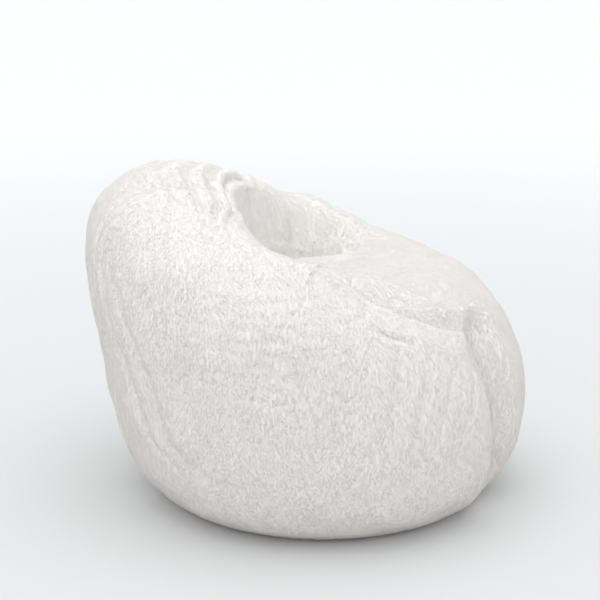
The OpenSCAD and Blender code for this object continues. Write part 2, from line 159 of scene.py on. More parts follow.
def net(rows, columns, closed=False):
    """The quads of a grid of points, row by row, whose last column may join its first."""
    i, j = np.meshgrid(np.arange(columns if closed else columns - 1), np.arange(rows - 1))
    this, row = i.ravel(), j.ravel() * columns
    beside = (this + 1) % columns
    above = row + columns
    return np.stack([row + this, row + beside, above + beside, above + this], 1)


def studio_floor():
    """A disc that turns up into a round wall: height is the square of how far the radius passes the
    disc's edge."""
    edge, wall, turns, rings = 5.0, 16.0, 96, 60
    radius = np.linspace(0.001, wall, rings)[:, None]
    around = np.linspace(0, 2 * np.pi, turns, endpoint=False)[None]
    rise = np.maximum(radius - edge, 0) ** 2 / 12 + 0 * around
    points = np.stack([radius * np.cos(around), radius * np.sin(around), rise], -1).reshape(-1, 3)
    paper = Finish("studio paper", (1, 1, 1), Roughness=0.9)
    away = paper.at.node("ShaderNodeVectorMath", {"operation": "LENGTH"}, {0: paper.at}, "Value")
    # Painted shade: the paper's colour darkens towards the chair, from white 5 m out to 0.74 of it
    # within 0.4 m of the middle
    painted_shade_near_chair = away.node("ShaderNodeMapRange", {"interpolation_type": "SMOOTHSTEP"}, {
        "Value": away, "From Min": 0.4, "From Max": 5.0})
    paper.shade(painted_shade_near_chair, 0.74, 1.0)
    return new_piece("studio_floor", points, [net(rings, turns, closed=True)], paper)


studio_floor()

room = bpy.data.worlds.new("white room")
room.use_nodes = True
room_light = room.node_tree.nodes["Background"].inputs
room_light["Color"].default_value = (0.97, 0.985, 1, 1)
room_light["Strength"].default_value = 1.0
bpy.context.scene.world = room
bpy.context.scene.view_settings.view_transform = "Standard"


def lamp(name, place, aim, size, power):
    """A round soft lamp of that width in metres and power in watts, turned to face its aim."""
    light = bpy.data.lights.new(name, "AREA")
    light.shape = "DISK"
    light.size = size
    light.energy = power
    holder = bpy.data.objects.new(name, light)
    holder.location = place
    holder.rotation_euler = (aim - place).to_track_quat("-Z", "Y").to_euler()
    bpy.context.scene.collection.objects.link(holder)


middle = Vector((0, 0.015, 0.395))
lamp("overhead", Vector((-0.4, 0.1, 3.4)), middle, 3.2, 28)

CAMERA_AWAY, CAMERA_RISE = 3.5, np.radians(15.5)
towards_camera = Vector((-np.cos(CAMERA_RISE), 0, np.sin(CAMERA_RISE)))
camera = bpy.data.objects.new("camera", bpy.data.cameras.new("camera"))
camera.data.lens = 100.8
camera.location = middle + CAMERA_AWAY * towards_camera
camera.rotation_euler = (middle - camera.location).to_track_quat("-Z", "Y").to_euler()
bpy.context.scene.collection.objects.link(camera)
bpy.context.scene.camera = camera

# ---- Bead filling ----
# Four chambers of expanded beads, 3 to 5 mm across: the seat, two arms and the back. They carry
# the sitter, and the bag round them takes their shape.

# Half the chair's width and depth; heights of the back, an arm and the seat; and half the width,
# and the reach forward and back, of the base and of the hollow. All are in metres.
half_w = (cad_box[1][0] - cad_box[0][0]) / 2
half_d = (cad_box[1][1] - cad_box[0][1]) / 2
back_h = cad_box[1][2] * 0.9966
arm_h, seat_h = 0.556, 0.486
base_w, base_front, base_back = 0.325, 0.347, 0.287
hollow_w, hollow_front, hollow_back = 0.186, 0.165, 0.100


def mix(p, q, share):
    """From p to q, as share goes from 0 to 1."""
    return p + (q - p) * share


def ease(share):
    """0 to 1 with level ends: three squares less two cubes of the share."""
    share = np.clip(share, 0, 1)
    return share * share * (3 - 2 * share)


# One row per station of the skin, from the middle of the base, up the side and over the rim to
# the middle of the seat: half width, reach forward and back, height at the front, side and back
STATIONS = np.array([
    (0, 0.025, -0.025, 0, 0, 0),
    (base_w * 0.52, base_front * 0.54, base_back * 0.51, 0, 0, 0),
    (base_w, base_front, base_back, 0, 0, 0),
    (mix(base_w, half_w, 0.57), mix(base_front, half_d, 0.62), mix(base_back, half_d, 0.42),
     seat_h * 0.104, arm_h * 0.095, back_h * 0.09),
    (mix(base_w, half_w, 0.92), half_d - 0.006, mix(base_back, half_d, 0.7),
     seat_h * 0.333, arm_h * 0.31, back_h * 0.267),
    (half_w, half_d - 0.0015, mix(base_back, half_d, 0.865),
     seat_h * 0.52, arm_h * 0.55, back_h * 0.495),
    (half_w * 0.972, half_d * 0.945, half_d, seat_h * 0.692, arm_h * 0.765, back_h * 0.725),
    (half_w * 0.872, half_d * 0.86, half_d * 0.935, seat_h * 0.833, arm_h * 0.918, back_h * 0.905),
    (half_w * 0.722, half_d * 0.733, half_d * 0.657, seat_h * 0.932, arm_h, back_h),
    (mix(hollow_w, half_w, 0.29), mix(hollow_front, half_d, 0.36), mix(hollow_back, half_d, 0.224),
     seat_h * 0.985, arm_h * 0.962, back_h * 0.969),
    (mix(hollow_w, half_w, 0.12), mix(hollow_front, half_d, 0.155), mix(hollow_back, half_d, 0.095),
     seat_h, seat_h * 0.985, mix(seat_h, back_h, 0.44)),
    (hollow_w, hollow_front, hollow_back, seat_h * 0.99, seat_h * 0.9, seat_h * 0.955),
    (hollow_w * 0.54, hollow_front * 0.76, hollow_back * 0.25, seat_h * 0.98, seat_h * 0.96,
     seat_h * 0.965),
    (0, 0.065, -0.065, seat_h * 0.968, seat_h * 0.968, seat_h * 0.968),
])
LAST = len(STATIONS) - 1
# Stations of the seam round the base, the corner where the front and arm seams meet, the rim, the
# foot of the inner wall, and the zip slot's two ends
BASE_SEAM, CORNER, RIM, HOLLOW = 2.1, 6.75, 8.7, 11.0
SLOT_LOW, SLOT_HIGH = 4.0, 6.0
# Angles, in degrees round from the front, of the upright seams, the baffles and the end of the
# rim seam's climb
FRONT_SEAM, SEAT_CORNER, RIM_END, BACK_BAFFLE, BACK_SEAM = 31.5, 78.0, 120.0, 125.0, 158.0
# The front crease and the arm's crease are drawn in towards a point in the heart of the seat
CREASE_DEPTH, ARM_CREASE_DEPTH = 0.050, 0.016
CREASE_HALF = np.degrees(np.arctan(0.052 / half_d))
HEART = np.array([0, -0.085, 0.220])


def station(t):
    """The row of STATIONS at t, by the cubic through the four nearest rows."""
    rows = np.vstack([2 * STATIONS[0] - STATIONS[1], STATIONS, 2 * STATIONS[-1] - STATIONS[-2]])
    i = np.minimum(np.floor(t).astype(int), LAST - 1)
    f = (t - i)[..., None]
    p, q, r, s = rows[i], rows[i + 1], rows[i + 2], rows[i + 3]
    return 0.5 * (2 * q + (r - p) * f + (2 * p - 5 * q + 4 * r - s) * f**2
                  + (3 * q - 3 * r + s - p) * f**3)


def front_seam(t):
    """The front seam's angle: it leans forward by 1.8 degrees a station towards the floor."""
    return FRONT_SEAM - 1.8 * (6 - np.clip(t, 3, 6))


def rim_seam(a):
    """The station of the seam along the top of the arm, which climbs from the corner to the rim."""
    return mix(CORNER, RIM, ease((a - FRONT_SEAM) / (RIM_END - FRONT_SEAM)))


def drawn_in(a, t):
    """How far the seams draw the skin in: a bell curve across the front seam and a shallower one
    across the arm's seam, each faded at its ends."""
    up = ease((t - 2.3) / 1.2) * (1 - ease((t - CORNER + 0.2) / 0.9))
    front = CREASE_DEPTH * np.exp(-((a - front_seam(t)) / CREASE_HALF) ** 2) * up
    along = ease((a - FRONT_SEAM + 4) / 8) * (1 - ease((a - 65) / 30))
    arm = ARM_CREASE_DEPTH * np.exp(-((t - rim_seam(a)) / 0.42) ** 2) * along
    return np.maximum(front, arm)


def skin(w, t):
    """The point of the skin at angle w, from the front round by the left, and station t: an ellipse
    of the station's reaches, at a height between its front, side and back heights, drawn in."""
    w, t = np.broadcast_arrays(np.asarray(w, float), np.asarray(t, float))
    s = station(t)
    c = np.cos(np.radians(w))
    to_front, to_back = np.maximum(c, 0) ** 0.75, np.maximum(-c, 0) ** 1.7
    p = np.stack([
        s[..., 0] * np.sin(np.radians(w)),
        (s[..., 2] - s[..., 1]) / 2 - (s[..., 1] + s[..., 2]) / 2 * c,
        s[..., 4] + (s[..., 3] - s[..., 4]) * to_front + (s[..., 5] - s[..., 4]) * to_back], -1)
    out = p - HEART
    out_length = np.linalg.norm(out, axis=-1, keepdims=True)
    p = p - drawn_in(np.minimum(w, 360 - w), t)[..., None] * out / out_length
    p[..., 2] = np.maximum(p[..., 2], 0)
    return p


def unit(v):
    """Vectors made one long: each over its own length."""
    return v / np.maximum(np.linalg.norm(v, axis=-1, keepdims=True), 1e-9)


def outward(w, t):
    """The skin's normal, across its slopes round the chair and along the stations."""
    t = np.clip(t, 0.02, LAST - 0.02)
    return unit(np.cross(skin(w + 1, t) - skin(w - 1, t), skin(w, t + 0.02) - skin(w, t - 0.02)))


def lean(w, t):
    """Angles near the front seam follow its lean, the more so the nearer they are."""
    a = np.minimum(w, 360 - w)
    past_seam = ease((a - FRONT_SEAM) / (SEAT_CORNER - FRONT_SEAM))
    share = np.where(a < FRONT_SEAM, a / FRONT_SEAM, 1 - past_seam)
    followed = a + (front_seam(t) - FRONT_SEAM) * share
    return np.where(w < 180, followed, 360 - followed)


def row_station(w, t):
    """Rows near the rim follow the rim's seam down towards the front corner."""
    a = np.maximum(np.minimum(w, 360 - w), FRONT_SEAM)
    share = np.where(t < RIM, np.maximum(t - BASE_SEAM, 0) / (RIM - BASE_SEAM),
                     np.maximum(HOLLOW - t, 0) / (HOLLOW - RIM))
    return t + (rim_seam(a) - RIM) * share**2


def waves(p, length, seed, stretch=(1, 1, 1)):
    """Soft random swells about length apart: a sum of sines in random directions, about 1 high."""
    draw = np.random.default_rng(seed)
    count = 20
    ways = unit(draw.normal(size=(count, 3))) * draw.uniform(0.75, 1.35, (count, 1))
    ways = ways / np.array(stretch) * 2 * np.pi / length
    return np.sin(p @ ways.T + draw.uniform(0, 6.28, count)).sum(-1) / np.sqrt(count / 2)


def folds():
    """The folds of the right half, family by family: each fold's depth and half width in metres,
    and the points of angle and station that it runs through."""
    # hoops run level round the crown, one below the other, then fall together onto the arm
    for n in range(4):
        angle = np.linspace(150 + 9 * n, 247 - 5 * n, 14)
        fall = ease((angle - 205) / (42 - 5 * n))
        yield 0.008 - 0.0017 * n, 0.0085, list(zip(angle, mix(9.2 - 0.42 * n, 7.9, fall)))
    # long folds fall beside the back seam and swing forward near the floor
    for n in range(2):
        yield 0.004 + 0.001 * n, 0.010 + 0.004 * n, [
            (205 + 9 * n, 6.7 - 0.4 * n), (212 + 9 * n, 5.3), (220 + 8 * n, 4.1), (234 + 6 * n, 3.6)]
    # faint upright folds down the side
    for n in range(5):
        top = 240 + 11 * n
        yield 0.0023, 0.010, [(top, 6.7), (top - 2, 5.6), (top - 6, 4.4 + 0.6 * (n % 2))]
    # a pucker under the arm's front end
    yield 0.0050, 0.007, [(290, 6.75), (301, 6.45)]
    # the fan of folds that the pucker throws towards the floor
    for n in range(5):
        low = 0.12 * n
        yield 0.0026, 0.009, [
            (288 + 8 * n, 6.4 - low), (284 + 7 * n, 5.4 - low), (281 + 6 * n, 4.4 - low)]
    # creases down the inner wall
    for n in range(5):
        yield 0.0030, 0.0115, [(226 + 17 * n, 9.4), (231 + 15 * n, 10), (234 + 14 * n, 10.6)]


# Broad swellings, or dents below 0, of one side or the other: height in metres, then middle and
# reach in angle and station. The first three are on the right arm, and the first of them is where
# a sitter's elbow pressed it down beside the back. The next two fill out the left arm behind, and
# the last two slacken it in front.
SWELLS = [
    (-0.032, (250, 9.5), (24, 0.75)),
    (0.004, (262, 7.65), (18, 0.40)),
    (0.008, (307, 7.25), (14, 0.45)),
    (0.009, (120, 8.9), (22, 0.80)),
    (0.016, (150, 9.5), (26, 0.60)),
    (-0.009, (60, 8.2), (20, 0.90)),
    (-0.008, (60, 7.9), (18, 0.35)),
]


def seam_lines():
    """The seams of the left half, as folds: the front seam, the rim's seam, the back seam, the
    short seam at the seat's back corner, the seam at the foot of the inner wall, and the middle
    seam below and above the zip."""
    climb = np.linspace(BASE_SEAM, CORNER - 0.3, 12)
    rim = np.linspace(FRONT_SEAM, 180, 30)
    yield 0.0070, 0.010, list(zip(front_seam(climb), climb))
    yield 0.0016, 0.007, list(zip(rim, rim_seam(rim)))
    yield 0.0035, 0.007, [(BACK_SEAM, t) for t in np.linspace(BASE_SEAM, RIM, 12)]
    yield 0.0016, 0.008, [(SEAT_CORNER, t) for t in np.linspace(8.0, HOLLOW, 8)]
    yield 0.0070, 0.012, [(a, HOLLOW) for a in np.linspace(SEAT_CORNER, 180, 20)]
    yield 0.0030, 0.006, [(180, t) for t in np.linspace(BASE_SEAM, 3.8, 5)]
    yield 0.0030, 0.006, [(180, t) for t in np.linspace(6.2, RIM, 8)]


def fold_profile(p, depth, half, path, fades):
    """A valley along the path, with a low lip on each side: a bell curve of the distance to the
    nearest point of the path less a wider ring. A fold fades towards its ends, a seam doesn't."""
    path = np.array(path, float)
    knots = np.arange(len(path))
    spots = np.linspace(0, len(path) - 1, 90)
    line = skin(np.interp(spots, knots, path[:, 0]), np.interp(spots, knots, path[:, 1]))
    reach = 4 * half
    near = ((p > line.min(0) - reach) & (p < line.max(0) + reach)).all(-1)
    drop = np.zeros(p.shape[:-1])
    if not near.any():
        return drop
    gap = np.linalg.norm(p[near][:, None] - line[None], axis=-1)
    nearest = gap.argmin(1)
    gap = gap.min(1)
    fade = np.sin(np.pi * (nearest + 0.5) / len(line)) ** 0.6 if fades else 1
    valley = np.exp(-((gap / half) ** 2))
    lips = np.exp(-(((gap - 2 * half) / half) ** 2))
    drop[near] = depth * fade * (valley - 0.35 * lips)
    return drop


def turned(p, degrees):
    """Points turned about the X axis, to lay a stretched pattern aslant on the chair's side."""
    c, s = np.cos(np.radians(degrees)), np.sin(np.radians(degrees))
    return np.stack([p[..., 0], c * p[..., 1] - s * p[..., 2], s * p[..., 1] + c * p[..., 2]], -1)


def patch(w, t, at, reach):
    """1 in the middle of an oval patch of the skin and 0 outside it."""
    return np.exp(-(((w - at[0]) / reach[0]) ** 2) - ((t - at[1]) / reach[1]) ** 2)


def relief(w, t, p):
    """How far the stuffed chair stands out of the plain skin, in metres: slow swells of the beads,
    the crown's and the foot's fullness, one-sided swells, ripples across the side, slanting
    streaks at its front and the seat's crest, less folds and seams. It starts above the base."""
    w, t = np.broadcast_arrays(w, t)
    off_floor = ease((t - BASE_SEAM - 0.05) / 0.8)
    rise = -0.002 + 0.0018 * waves(p, 0.17, 3) + 0.0008 * waves(p, 0.055, 5, (1, 1, 2.5))
    either = np.maximum(w, 360 - w)
    crown = patch(either, t, (186, 7.6), (34, 0.6))
    foot = np.exp(-(((t - 3.7) / 1.1) ** 2))
    rise += 0.0100 * crown
    rise += 0.0060 * foot
    for height, at, reach in SWELLS:
        rise += height * patch(w, t, at, reach)
    ripples = patch(either, t, (265, 6.0), (22, 1.1)) * waves(p, 0.020, 7, (3, 4, 1))
    streaks = patch(either, t, (300, 5.1), (16, 1.3)) * waves(turned(p, 35), 0.020, 8, (2, 1, 5))
    seat_crest = patch(np.minimum(w, 360 - w), t, (0, 9.9), (50, 0.9))
    rise += 0.0009 * ripples
    rise += 0.0010 * streaks
    rise += 0.006 * seat_crest
    for depth, half, path in folds():
        rise -= fold_profile(p, depth, half, path, True)
    for depth, half, path in seam_lines():
        rise -= fold_profile(p, depth, half, path, False)
    # the other half: its folds are shallower and wander a little, its seams mirror the first half's,
    # and the middle seam is there already
    for depth, half, path in folds():
        wandering = [(360 - a + 2 * np.sin(a / 20), row + 0.08 * np.cos(a / 15)) for a, row in path]
        rise -= fold_profile(p, depth * 0.85, half, wandering, True)
    for depth, half, path in seam_lines():
        if path[0][0] != 180:
            rise -= fold_profile(p, depth, half, [(360 - a, row) for a, row in path], False)
    return rise * off_floor


def place(w, t, depth):
    """The point at that depth under the stuffed chair's outline, at angle w and row t."""
    w, t = np.broadcast_arrays(np.asarray(w, float), np.asarray(t, float))
    s = row_station(w, t)
    a = lean(w, s)
    p = skin(a, s)
    return p + (relief(a, s, p) - depth)[..., None] * outward(a, s)


def lofted(name, loops, finish):
    """A closed solid through rings of points, drawn in to a middle point at each end."""
    shares = np.array([0.98, 0.8, 0.55, 0.3])[:, None, None]
    ends = [mix(loop.mean(0), loop, shares) for loop in (loops[0], loops[-1])]
    loops = np.concatenate([ends[0][::-1], loops, ends[1]])
    n, m = loops.shape[:2]
    points = np.concatenate([loops.reshape(-1, 3), loops[0].mean(0)[None], loops[-1].mean(0)[None]])
    ring = np.arange(m)
    after = (ring + 1) % m
    last = (n - 1) * m
    fans = np.concatenate([
        np.stack([after, ring, np.full(m, n * m)], 1),
        np.stack([ring + last, after + last, np.full(m, n * m + 1)], 1)])
    quads = net(n, m, closed=True)
    a, b, c, d = points[quads].transpose(1, 0, 2)
    if (a * np.cross(b, c) + a * np.cross(c, d)).sum() < 0:
        quads, fans = quads[:, ::-1], fans[:, ::-1]
    return new_piece(name, points, [quads, fans], finish)


# The station where the divider stands on the base, and how deep the bag, the ends of its walls and
# the beads lie under the cover's outline, in metres
DIVIDER_FOOT = 1.25
LAYER = {"bag": 0.007, "wall": 0.0083, "beads": 0.011}


def pocket(w, t):
    """1 behind the zip slot, where the bag and the beads step back, and 0 elsewhere."""
    return ease((4.8 - abs(180 - w)) / 1.4) * ease((t - 3.8) / 0.15) * ease((6.2 - t) / 0.15)


def chamber(w, depth, off, pocket_depth=0.0):
    """Outlines at the angles w between skin and divider: out along the base, up the side, over the
    rim and down to the hollow, then straight back, off stations clear of the divider. Behind the
    zip slot the skin side steps back by pocket_depth."""
    t = np.concatenate([[DIVIDER_FOOT + off / 2, 1.7], np.linspace(BASE_SEAM, HOLLOW - off, 56)])
    w, t = np.meshgrid(w, t, indexing="ij")
    skin_side = place(w, t, depth + pocket_depth * pocket(w, t))
    back = np.linspace(0, 1, 16)[1:-1][None, :, None]
    return np.concatenate([skin_side, mix(skin_side[:, -1:], skin_side[:, :1], back)], 1)


bead_white = Finish("bead filling", (0.90, 0.90, 0.89), Roughness=0.65, Subsurface_Weight=0.1)
bead = bead_white.at.node("ShaderNodeTexVoronoi", None, {
    "Vector": bead_white.at, "Scale": 240}, "Distance")
# Painted shade: each bead is coloured darker from its middle to its edge, where it meets its neighbours
bead_white.shade(1 - bead, 0.80, 1.02)
bead_white.bump(1 - bead, 0.8, 0.002)


def beads(name, node, loops):
    """A chamberful of beads: its outline, dimpled by the grains behind the cloth."""
    grains = unit(loops - loops.mean((0, 1)))
    piece = lofted(name, loops + 0.0006 * waves(loops, 0.014, 21)[..., None] * grains, bead_white)
    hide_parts(node)
    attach(piece, "chair")


# Gaps left for the walls: stations at the divider, degrees beside a baffle, and degrees on each
# side of the front seam, where the cover turns in 21 mm each way
DIVIDER_GAP, BAFFLE_GAP = 0.10, 0.8
FRONT_GAP = np.degrees(np.arctan(0.021 / half_d))
BEAD_POCKET = 0.017
arm_angles = np.linspace(FRONT_SEAM + FRONT_GAP, BACK_BAFFLE - BAFFLE_GAP, 46)
beads("arm_beads_left", "arm_fill_left", chamber(arm_angles, LAYER["beads"], DIVIDER_GAP))
beads("arm_beads_right", "arm_fill_right", chamber(360 - arm_angles, LAYER["beads"], DIVIDER_GAP))
back_angles = np.linspace(BACK_BAFFLE + BAFFLE_GAP, 360 - BACK_BAFFLE - BAFFLE_GAP, 62)
beads("back_beads", "back_fill", chamber(back_angles, LAYER["beads"], DIVIDER_GAP, BEAD_POCKET))


def seat_chamber():
    """Rings from the middle of the base to the middle of the seat: out to the skin between the two
    front baffles, and to the divider everywhere else."""
    foot, edge = DIVIDER_FOOT - 0.05, HOLLOW + DIVIDER_GAP
    t = np.concatenate([[0.3, 0.8], np.linspace(foot, edge, 50), [11.5, 12, 12.6]])[:, None]
    opening = FRONT_SEAM - FRONT_GAP
    across_front = np.linspace(-opening, opening, 30)
    round_rest = np.linspace(opening + BAFFLE_GAP, 360 - BAFFLE_GAP - opening, 110)
    w = (np.concatenate([across_front, round_rest]) % 360)[None]
    out = place(w, t, LAYER["beads"])
    up = np.clip((t - foot) / (edge - foot), 0, 1)[..., None]
    wall = mix(place(w, foot, LAYER["beads"]), place(w, edge, LAYER["beads"]), up)
    inside = (np.minimum(w, 360 - w) > opening + 0.1) & (t > foot) & (t < edge)
    return np.where(inside[..., None], wall, out)


beads("seat_beads", "seat_fill", seat_chamber())

# ---- Walls in the bag ----
# Light lining cloth sewn upright into the bag: a divider round the seat, and four baffles that
# keep the beads of the arms and the back where they belong.

lining = Finish("lining cloth", (0.84, 0.84, 0.83), Roughness=0.8)
warp = lining.noise(900, 1, (1, 1, 6))
weft = lining.noise(900, 1, (6, 6, 1))
lining.shade((warp + weft) * 0.5, 0.86, 1.05)
lining.bump(warp + weft, 0.35, 0.0004)


def shell(name, cells, outer, inner, finish, poles=False):
    """A closed shell over the wanted cells of a grid whose columns join up: outer and inner faces,
    and a wall along each edge past which no cell is wanted. A pole is one point, shared by its row."""
    count_r, count_c = outer.shape[:2]
    layer = count_r * count_c
    index = np.arange(layer).reshape(count_r, count_c)
    if poles:
        index[0] = index[0, 0]
        index[-1] = index[-1, 0]
    after = np.roll(index, -1, 1)
    a, b, c, d = index[:-1], after[:-1], after[1:], index[1:]

    def faces(corners, wanted):
        """One quad for each wanted cell, from grids of its four corners' numbers."""
        return np.stack(corners, -1)[wanted]

    def wall(p, q, missing):
        """Quads from outer to inner face along the side p to q of each cell with no neighbour."""
        return faces((q, p, p + layer, q + layer), cells & missing)

    below = np.pad(cells, ((1, 0), (0, 0)))[:-1]
    above = np.pad(cells, ((0, 1), (0, 0)))[1:]
    quads = np.concatenate([
        faces((a, b, c, d), cells), faces((d + layer, c + layer, b + layer, a + layer), cells),
        wall(a, b, ~below), wall(c, d, ~above),
        wall(b, c, ~np.roll(cells, -1, 1)), wall(d, a, ~np.roll(cells, 1, 1))])
    # a quad with both ends of a side at a pole is a triangle, and with two such sides it is nothing
    thin_first, thin_last = quads[:, 0] == quads[:, 1], quads[:, 2] == quads[:, 3]
    tris = np.concatenate([
        quads[thin_first & ~thin_last][:, 1:], quads[thin_last & ~thin_first][:, :3]])
    quads = quads[~thin_first & ~thin_last]
    used, packed = np.unique(np.concatenate([quads.ravel(), tris.ravel()]), return_inverse=True)
    points = np.concatenate([outer.reshape(-1, 3), inner.reshape(-1, 3)])[used]
    quads, tris = packed[:quads.size].reshape(-1, 4), packed[quads.size:].reshape(-1, 3)
    return new_piece(name, points, [quads, tris], finish)


def wall_cloth(piece, node):
    """Puts a wall of lining cloth, stretched between the sides of the bag, on the chair in place of its
    part.
    """
    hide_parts(node)
    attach(piece, "chair")


def divider():
    """Straight from the divider's foot on the base to the hollow's edge, round three sides, with
    half the cloth's thickness on each side of the sheet."""
    columns, rows, half_cloth = 150, 24, 0.0004
    w = np.linspace(FRONT_SEAM + BAFFLE_GAP, 360 - BAFFLE_GAP - FRONT_SEAM, columns)[None]
    up = np.linspace(0, 1, rows)[:, None, None]
    sheet = mix(place(w, DIVIDER_FOOT, LAYER["wall"]), place(w, HOLLOW, LAYER["wall"]), up)
    across = unit(np.cross(np.gradient(sheet, axis=1), np.gradient(sheet, axis=0)))
    cells = np.ones((rows - 1, columns), bool)
    cells[:, -1] = False
    outer, inner = sheet + half_cloth * across, sheet - half_cloth * across
    return shell("seat_divider_cloth", cells, outer, inner, lining)


wall_cloth(divider(), "seat_divider")
BAFFLES = [
    ("front_baffle_left", FRONT_SEAM, (0.20, 0.46), 0.08),
    ("front_baffle_right", 360 - FRONT_SEAM, (0.20, 0.46), 0.08),
    ("back_baffle_left", BACK_BAFFLE, (0.24, 0.59), 0.135),
    ("back_baffle_right", 360 - BACK_BAFFLE, (0.24, 0.59), 0.135),
]
HALF_BAFFLE = 0.06
for name, angle, flat, area in BAFFLES:
    faces = chamber(np.array([angle - HALF_BAFFLE, angle + HALF_BAFFLE]), LAYER["wall"], 0.06)
    wall_cloth(lofted(name + "_cloth", faces, lining), name)

# ---- Inner bag ----
# The liner that holds the beads: closely woven white polyester, cut to the cover's shape and
# sewn shut but for its own zip, behind which it steps back.

# One grid serves the bag, the base and the cover. Its lines fall on every seam and on the edges of
# the zip slot: each knot is an angle or a station, and the number of steps up to it.
SLOT_EDGE = 178.8
COLUMN_KNOTS = [
    (0, 0), (FRONT_SEAM, 48), (SEAT_CORNER, 70), (BACK_SEAM, 120), (SLOT_EDGE, 30), (180, 2)]
ROW_KNOTS = [
    (0, 0), (BASE_SEAM, 24), (SLOT_LOW, 36), (SLOT_HIGH, 60), (RIM, 76), (HOLLOW, 56), (LAST, 26)]


def knotted(knots):
    """Even steps between knots, each given as its place and the number of steps up to it."""
    steps = [np.linspace(low, high, count, endpoint=False)
             for (low, _), (high, count) in zip(knots, knots[1:])]
    return np.concatenate(steps + [[knots[-1][0]]])


half_columns = knotted(COLUMN_KNOTS)
columns = np.concatenate([half_columns, 360 - half_columns[-2:0:-1]])
rows = knotted(ROW_KNOTS)
W, T = np.meshgrid(columns, rows)
stations_of = row_station(W, T)
angles_of = lean(W, stations_of)
bare = skin(angles_of, stations_of)
out = outward(angles_of, stations_of)
outline = bare + relief(angles_of, stations_of, bare)[..., None] * out


def cell_places(step):
    """The lower angle from the front and the lower row of each cell, on every step-th line."""
    edge = columns[::step]
    a = np.where(edge < 180, edge, 360 - np.append(edge[1:], 360))
    return a[None] + 1e-6, rows[::step][:-1, None] + 1e-6, (edge >= 180)[None]


def slot_cells(a, t):
    """The cells of the zip slot: between its two rows and past its edge."""
    return (a > SLOT_EDGE) & (t > SLOT_LOW) & (t < SLOT_HIGH)


EVERY = 2


def inner_bag():
    """The outline sunk by the bag's depth and by its pocket, on every second line of the grid,
    with a hole for its zip."""
    cloth, pocket_depth = 0.0008, 0.010
    a, t, _ = cell_places(EVERY)
    depth = LAYER["bag"] + pocket_depth * pocket(W, T)
    outer = (outline - depth[..., None] * out)[::EVERY, ::EVERY]
    inner = (outline - (depth + cloth)[..., None] * out)[::EVERY, ::EVERY]
    return shell("inner_bag_cloth", ~slot_cells(a, t), outer, inner, lining, poles=True)


bag = inner_bag()
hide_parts("inner_bag")
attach(bag, "chair")

# ---- Bag zip ----
# Woven tapes sewn behind the bag's slot, moulded teeth and one nickel slider with no pull, so that
# small hands can't open it.

tape = Finish("zip tape", (0.86, 0.85, 0.83), Roughness=0.8)
ribs = tape.at.node("ShaderNodeTexWave", {"bands_direction": "Z"}, {
    "Vector": tape.at, "Scale": 170, "Distortion": 0.8}, "Fac")
tape.shade(ribs, 0.84, 1.04)
tape.bump(ribs, 0.5, 0.0003)

moulded = Finish("moulded teeth", (0.84, 0.83, 0.80), Roughness=0.35)
cloudy = moulded.noise(700)
moulded.shade(cloudy, 0.90, 1.05)
moulded.feed("Roughness", cloudy * 0.3 + 0.2)

nickel = Finish("brushed nickel", (0.74, 0.74, 0.75), Metallic=1.0, Roughness=0.3)
brushing = nickel.noise(900, 3, (8, 1, 1))
nickel.shade(brushing, 0.88, 1.05)
nickel.feed("Roughness", brushing * 0.25 + 0.18)


def finish_node(node, finish):
    """Gives a carried-over part its own material."""
    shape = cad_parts[node].data
    shape.materials.clear()
    shape.materials.append(finish.material)


finish_node("bag_zip_tapes", tape)
finish_node("bag_zip_teeth", moulded)
finish_node("bag_zip_slider", nickel)

# ---- Base panel ----
# A round of tough woven cloth with no pile, sewn to the cover round its edge.

canvas = Finish("base canvas", (0.62, 0.61, 0.59), Roughness=0.9)
canvas_warp = canvas.noise(420, 1, (8, 1, 1))
canvas_weft = canvas.noise(420, 1, (1, 8, 1))
canvas.shade((canvas_warp + canvas_weft) * 0.5, 0.75, 1.1)
canvas.bump(canvas_warp + canvas_weft, 0.6, 0.0008)


def base_panel():
    """The outline inside the base seam, at every angle, and a cloth's thickness under it."""
    cloth = 0.0025
    a, t, _ = cell_places(EVERY)
    inner = (outline - cloth * out)[::EVERY, ::EVERY]
    cells = (t < BASE_SEAM) & (a > 0)
    return shell("base_panel_canvas", cells, outline[::EVERY, ::EVERY], inner, canvas, poles=True)


base = base_panel()
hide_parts("base_panel")
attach(base, "chair")

# ---- Plush cover ----
# Six panels of white pile cloth: two sides, the seat that runs down over the front, the lining
# of the hollow and two halves of the back. The backing is one shell per panel, and its pile is
# thousands of soft leaning tufts rooted in it.

PILE_DEPTH, BACKING_THICK = 0.0036, 0.0012
PLUSH_WHITE = (0.91, 0.885, 0.85)
bed = PILE_DEPTH * ease((T - BASE_SEAM + 0.1) / 0.4)
bed_points = outline - bed[..., None] * out
inner_points = outline - (bed + BACKING_THICK)[..., None] * out
backing = Finish("plush backing", PLUSH_WHITE, Roughness=0.95, Sheen_Weight=0.1)
# Each tuft is coloured from a strip of its own, in one of 16 tones: painted shade darkens it towards
# its root, deep in the pile, and a noise gives it a tone of its own
white_pile = Finish(
    "white pile", PLUSH_WHITE, Roughness=0.85, Sheen_Weight=0.15, Sheen_Roughness=0.6)
fibre = white_pile.at.node("ShaderNodeUVMap", {"uv_map": "OFBake"})
painted_root_shade = fibre.node("ShaderNodeSeparateXYZ", None, {0: fibre}, "Y")
fibre_tone = fibre.node("ShaderNodeTexNoise", None, {"Vector": fibre, "Scale": 24, "Detail": 1})
white_pile.shade(painted_root_shade * 0.5 + fibre_tone * 0.5, 0.95, 1.03)
TONES = 16
# One tuft's share of the cloth, the most tufts on a panel, and a tuft's length and half width
TUFT_AREA, MOST_TUFTS = 12.0e-6, 49500
TUFT_LENGTH, TUFT_HALF_WIDTH = 0.0074, 0.0014


def slopes(grid):
    """Unit normals of a grid that closes round its columns, from its central differences."""
    around = np.roll(grid, -1, 1) - np.roll(grid, 1, 1)
    n = unit(np.cross(around, np.gradient(grid, axis=0)))
    n[0], n[-1] = (0, 0, -1), (0, 0, 1)
    return n


bed_normals = slopes(bed_points)


